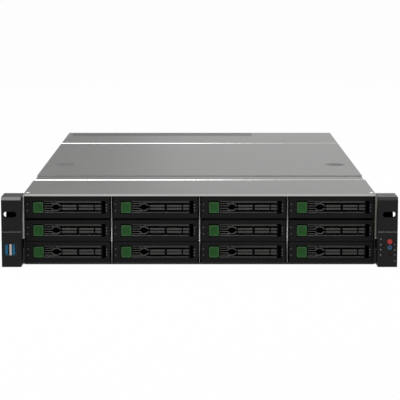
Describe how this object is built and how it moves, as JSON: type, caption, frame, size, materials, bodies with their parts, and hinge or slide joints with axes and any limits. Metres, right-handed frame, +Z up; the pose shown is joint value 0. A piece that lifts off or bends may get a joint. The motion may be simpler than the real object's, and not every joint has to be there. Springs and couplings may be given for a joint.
{
  "type": "rack server",
  "caption": "Two-unit rack server: flat steel chassis with sliding top cover, rack ears and a front filled with hot-swap drive carriers that pull out on levers",
  "frame": {"origin": "on the surface that the chassis stands on, below the middle of the whole width and depth, power supply handles included", "axes": "+Z up, the drive side faces -Y, the back wall faces +Y, +X to the right of someone facing the drives"},
  "size_m": [0.4826, 0.79, 0.088],
  "materials": {
    "zinc_steel": "zinc-coated steel sheet, satin",
    "cover_steel": "zinc-coated steel sheet with a fine even grain",
    "circuit_board": "green solder mask",
    "fan_plastic": "black moulded plastic",
    "fin_aluminium": "bare extruded aluminium",
    "ear_plastic": "black textured moulded plastic",
    "socket_metal": "nickel plated steel",
    "screw_steel": "zinc plated steel",
    "carrier_plastic": "black moulded plastic",
    "lever_plastic": "black moulded plastic, slightly glossy",
    "release_green": "green moulded plastic",
    "supply_case": "zinc-coated steel case",
    "latch_plastic": "green moulded plastic",
    "power_red": "red translucent plastic",
    "locator_blue": "blue translucent plastic",
    "reset_red": "dark red plastic"
  },
  "bodies": {
    "chassis": {"chassis_tray": "zinc_steel", "front_cover": "cover_steel", "rear_panel": "cover_steel", "drive_cage": "zinc_steel", "drive_backplane": "circuit_board", "fan_wall": "fan_plastic", "main_board": "circuit_board", "heat_sinks": "fin_aluminium", "memory_modules": "circuit_board", "left_ear": "ear_plastic", "right_ear": "ear_plastic", "usb_ports": "socket_metal", "screws": "screw_steel"},
    "sliding_cover": {"sliding_cover": "cover_steel"},
    "drive_carrier_11": {"drive_carrier_11": "carrier_plastic"},
    "carrier_lever_11": {"carrier_lever_11": "lever_plastic"},
    "release_button_11": {"release_button_11": "release_green"},
    "drive_carrier_12": {"drive_carrier_12": "carrier_plastic"},
    "carrier_lever_12": {"carrier_lever_12": "lever_plastic"},
    "release_button_12": {"release_button_12": "release_green"},
    "drive_carrier_13": {"drive_carrier_13": "carrier_plastic"},
    "carrier_lever_13": {"carrier_lever_13": "lever_plastic"},
    "release_button_13": {"release_button_13": "release_green"},
    "drive_carrier_14": {"drive_carrier_14": "carrier_plastic"},
    "carrier_lever_14": {"carrier_lever_14": "lever_plastic"},
    "release_button_14": {"release_button_14": "release_green"},
    "drive_carrier_21": {"drive_carrier_21": "carrier_plastic"},
    "carrier_lever_21": {"carrier_lever_21": "lever_plastic"},
    "release_button_21": {"release_button_21": "release_green"},
    "drive_carrier_22": {"drive_carrier_22": "carrier_plastic"},
    "carrier_lever_22": {"carrier_lever_22": "lever_plastic"},
    "release_button_22": {"release_button_22": "release_green"},
    "drive_carrier_23": {"drive_carrier_23": "carrier_plastic"},
    "carrier_lever_23": {"carrier_lever_23": "lever_plastic"},
    "release_button_23": {"release_button_23": "release_green"},
    "drive_carrier_24": {"drive_carrier_24": "carrier_plastic"},
    "carrier_lever_24": {"carrier_lever_24": "lever_plastic"},
    "release_button_24": {"release_button_24": "release_green"},
    "drive_carrier_31": {"drive_carrier_31": "carrier_plastic"},
    "carrier_lever_31": {"carrier_lever_31": "lever_plastic"},
    "release_button_31": {"release_button_31": "release_green"},
    "drive_carrier_32": {"drive_carrier_32": "carrier_plastic"},
    "carrier_lever_32": {"carrier_lever_32": "lever_plastic"},
    "release_button_32": {"release_button_32": "release_green"},
    "drive_carrier_33": {"drive_carrier_33": "carrier_plastic"},
    "carrier_lever_33": {"carrier_lever_33": "lever_plastic"},
    "release_button_33": {"release_button_33": "release_green"},
    "drive_carrier_34": {"drive_carrier_34": "carrier_plastic"},
    "carrier_lever_34": {"carrier_lever_34": "lever_plastic"},
    "release_button_34": {"release_button_34": "release_green"},
    "fan_rotor_1": {"fan_rotor_1": "fan_plastic"},
    "fan_rotor_2": {"fan_rotor_2": "fan_plastic"},
    "fan_rotor_3": {"fan_rotor_3": "fan_plastic"},
    "power_supply_1": {"power_supply_1": "supply_case"},
    "supply_latch_1": {"supply_latch_1": "latch_plastic"},
    "power_supply_2": {"power_supply_2": "supply_case"},
    "supply_latch_2": {"supply_latch_2": "latch_plastic"},
    "power_button": {"power_button": "power_red"},
    "locator_button": {"locator_button": "locator_blue"},
    "reset_button": {"reset_button": "reset_red"}
  },
  "joints": [
    {"name": "cover_slide", "type": "slide", "parent": "chassis", "child": "sliding_cover", "axis": [0, -1, 0], "range_m": [0, 0.04]},
    {"name": "carrier_slide_11", "type": "slide", "parent": "chassis", "child": "drive_carrier_11", "axis": [0, -1, 0], "range_m": [0, 0.155]},
    {"name": "lever_hinge_11", "type": "hinge", "parent": "drive_carrier_11", "child": "carrier_lever_11", "pos_m": [-0.1216, -0.373, 0.0704], "axis": [0, 0, 1], "range_deg": [0, 60]},
    {"name": "button_press_11", "type": "slide", "parent": "drive_carrier_11", "child": "release_button_11", "axis": [0, 1, 0], "range_m": [0, 0.0024], "stiffness_N_per_m": 400},
    {"name": "carrier_slide_12", "type": "slide", "parent": "chassis", "child": "drive_carrier_12", "axis": [0, -1, 0], "range_m": [0, 0.155]},
    {"name": "lever_hinge_12", "type": "hinge", "parent": "drive_carrier_12", "child": "carrier_lever_12", "pos_m": [-0.0136, -0.373, 0.0704], "axis": [0, 0, 1], "range_deg": [0, 60]},
    {"name": "button_press_12", "type": "slide", "parent": "drive_carrier_12", "child": "release_button_12", "axis": [0, 1, 0], "range_m": [0, 0.0024], "stiffness_N_per_m": 400},
    {"name": "carrier_slide_13", "type": "slide", "parent": "chassis", "child": "drive_carrier_13", "axis": [0, -1, 0], "range_m": [0, 0.155]},
    {"name": "lever_hinge_13", "type": "hinge", "parent": "drive_carrier_13", "child": "carrier_lever_13", "pos_m": [0.0944, -0.373, 0.0704], "axis": [0, 0, 1], "range_deg": [0, 60]},
    {"name": "button_press_13", "type": "slide", "parent": "drive_carrier_13", "child": "release_button_13", "axis": [0, 1, 0], "range_m": [0, 0.0024], "stiffness_N_per_m": 400},
    {"name": "carrier_slide_14", "type": "slide", "parent": "chassis", "child": "drive_carrier_14", "axis": [0, -1, 0], "range_m": [0, 0.155]},
    {"name": "lever_hinge_14", "type": "hinge", "parent": "drive_carrier_14", "child": "carrier_lever_14", "pos_m": [0.2024, -0.373, 0.0704], "axis": [0, 0, 1], "range_deg": [0, 60]},
    {"name": "button_press_14", "type": "slide", "parent": "drive_carrier_14", "child": "release_button_14", "axis": [0, 1, 0], "range_m": [0, 0.0024], "stiffness_N_per_m": 400},
    {"name": "carrier_slide_21", "type": "slide", "parent": "chassis", "child": "drive_carrier_21", "axis": [0, -1, 0], "range_m": [0, 0.155]},
    {"name": "lever_hinge_21", "type": "hinge", "parent": "drive_carrier_21", "child": "carrier_lever_21", "pos_m": [-0.1216, -0.373, 0.0417], "axis": [0, 0, 1], "range_deg": [0, 60]},
    {"name": "button_press_21", "type": "slide", "parent": "drive_carrier_21", "child": "release_button_21", "axis": [0, 1, 0], "range_m": [0, 0.0024], "stiffness_N_per_m": 400},
    {"name": "carrier_slide_22", "type": "slide", "parent": "chassis", "child": "drive_carrier_22", "axis": [0, -1, 0], "range_m": [0, 0.155]},
    {"name": "lever_hinge_22", "type": "hinge", "parent": "drive_carrier_22", "child": "carrier_lever_22", "pos_m": [-0.0136, -0.373, 0.0417], "axis": [0, 0, 1], "range_deg": [0, 60]},
    {"name": "button_press_22", "type": "slide", "parent": "drive_carrier_22", "child": "release_button_22", "axis": [0, 1, 0], "range_m": [0, 0.0024], "stiffness_N_per_m": 400},
    {"name": "carrier_slide_23", "type": "slide", "parent": "chassis", "child": "drive_carrier_23", "axis": [0, -1, 0], "range_m": [0, 0.155]},
    {"name": "lever_hinge_23", "type": "hinge", "parent": "drive_carrier_23", "child": "carrier_lever_23", "pos_m": [0.0944, -0.373, 0.0417], "axis": [0, 0, 1], "range_deg": [0, 60]},
    {"name": "button_press_23", "type": "slide", "parent": "drive_carrier_23", "child": "release_button_23", "axis": [0, 1, 0], "range_m": [0, 0.0024], "stiffness_N_per_m": 400},
    {"name": "carrier_slide_24", "type": "slide", "parent": "chassis", "child": "drive_carrier_24", "axis": [0, -1, 0], "range_m": [0, 0.155]},
    {"name": "lever_hinge_24", "type": "hinge", "parent": "drive_carrier_24", "child": "carrier_lever_24", "pos_m": [0.2024, -0.373, 0.0417], "axis": [0, 0, 1], "range_deg": [0, 60]},
    {"name": "button_press_24", "type": "slide", "parent": "drive_carrier_24", "child": "release_button_24", "axis": [0, 1, 0], "range_m": [0, 0.0024], "stiffness_N_per_m": 400},
    {"name": "carrier_slide_31", "type": "slide", "parent": "chassis", "child": "drive_carrier_31", "axis": [0, -1, 0], "range_m": [0, 0.155]},
    {"name": "lever_hinge_31", "type": "hinge", "parent": "drive_carrier_31", "child": "carrier_lever_31", "pos_m": [-0.1216, -0.373, 0.0149], "axis": [0, 0, 1], "range_deg": [0, 60]},
    {"name": "button_press_31", "type": "slide", "parent": "drive_carrier_31", "child": "release_button_31", "axis": [0, 1, 0], "range_m": [0, 0.0024], "stiffness_N_per_m": 400},
    {"name": "carrier_slide_32", "type": "slide", "parent": "chassis", "child": "drive_carrier_32", "axis": [0, -1, 0], "range_m": [0, 0.155]},
    {"name": "lever_hinge_32", "type": "hinge", "parent": "drive_carrier_32", "child": "carrier_lever_32", "pos_m": [-0.0136, -0.373, 0.0149], "axis": [0, 0, 1], "range_deg": [0, 60]},
    {"name": "button_press_32", "type": "slide", "parent": "drive_carrier_32", "child": "release_button_32", "axis": [0, 1, 0], "range_m": [0, 0.0024], "stiffness_N_per_m": 400},
    {"name": "carrier_slide_33", "type": "slide", "parent": "chassis", "child": "drive_carrier_33", "axis": [0, -1, 0], "range_m": [0, 0.155]},
    {"name": "lever_hinge_33", "type": "hinge", "parent": "drive_carrier_33", "child": "carrier_lever_33", "pos_m": [0.0944, -0.373, 0.0149], "axis": [0, 0, 1], "range_deg": [0, 60]},
    {"name": "button_press_33", "type": "slide", "parent": "drive_carrier_33", "child": "release_button_33", "axis": [0, 1, 0], "range_m": [0, 0.0024], "stiffness_N_per_m": 400},
    {"name": "carrier_slide_34", "type": "slide", "parent": "chassis", "child": "drive_carrier_34", "axis": [0, -1, 0], "range_m": [0, 0.155]},
    {"name": "lever_hinge_34", "type": "hinge", "parent": "drive_carrier_34", "child": "carrier_lever_34", "pos_m": [0.2024, -0.373, 0.0149], "axis": [0, 0, 1], "range_deg": [0, 60]},
    {"name": "button_press_34", "type": "slide", "parent": "drive_carrier_34", "child": "release_button_34", "axis": [0, 1, 0], "range_m": [0, 0.0024], "stiffness_N_per_m": 400},
    {"name": "fan_spin_1", "type": "hinge", "parent": "chassis", "child": "fan_rotor_1", "pos_m": [-0.14, -0.149, 0.041], "axis": [0, 1, 0], "continuous": true},
    {"name": "fan_spin_2", "type": "hinge", "parent": "chassis", "child": "fan_rotor_2", "pos_m": [0, -0.149, 0.041], "axis": [0, 1, 0], "continuous": true},
    {"name": "fan_spin_3", "type": "hinge", "parent": "chassis", "child": "fan_rotor_3", "pos_m": [0.14, -0.149, 0.041], "axis": [0, 1, 0], "continuous": true},
    {"name": "supply_slide_1", "type": "slide", "parent": "chassis", "child": "power_supply_1", "axis": [0, 1, 0], "range_m": [0, 0.18]},
    {"name": "latch_press_1", "type": "slide", "parent": "power_supply_1", "child": "supply_latch_1", "axis": [-1, 0, 0], "range_m": [0, 0.0025], "stiffness_N_per_m": 500},
    {"name": "supply_slide_2", "type": "slide", "parent": "chassis", "child": "power_supply_2", "axis": [0, 1, 0], "range_m": [0, 0.18]},
    {"name": "latch_press_2", "type": "slide", "parent": "power_supply_2", "child": "supply_latch_2", "axis": [-1, 0, 0], "range_m": [0, 0.0025], "stiffness_N_per_m": 500},
    {"name": "power_button_press", "type": "slide", "parent": "chassis", "child": "power_button", "axis": [0, 1, 0], "range_m": [0, 0.0012], "stiffness_N_per_m": 400},
    {"name": "locator_button_press", "type": "slide", "parent": "chassis", "child": "locator_button", "axis": [0, 1, 0], "range_m": [0, 0.0012], "stiffness_N_per_m": 400},
    {"name": "reset_button_press", "type": "slide", "parent": "chassis", "child": "reset_button", "axis": [0, 1, 0], "range_m": [0, 0.0012], "stiffness_N_per_m": 400}
  ]
}
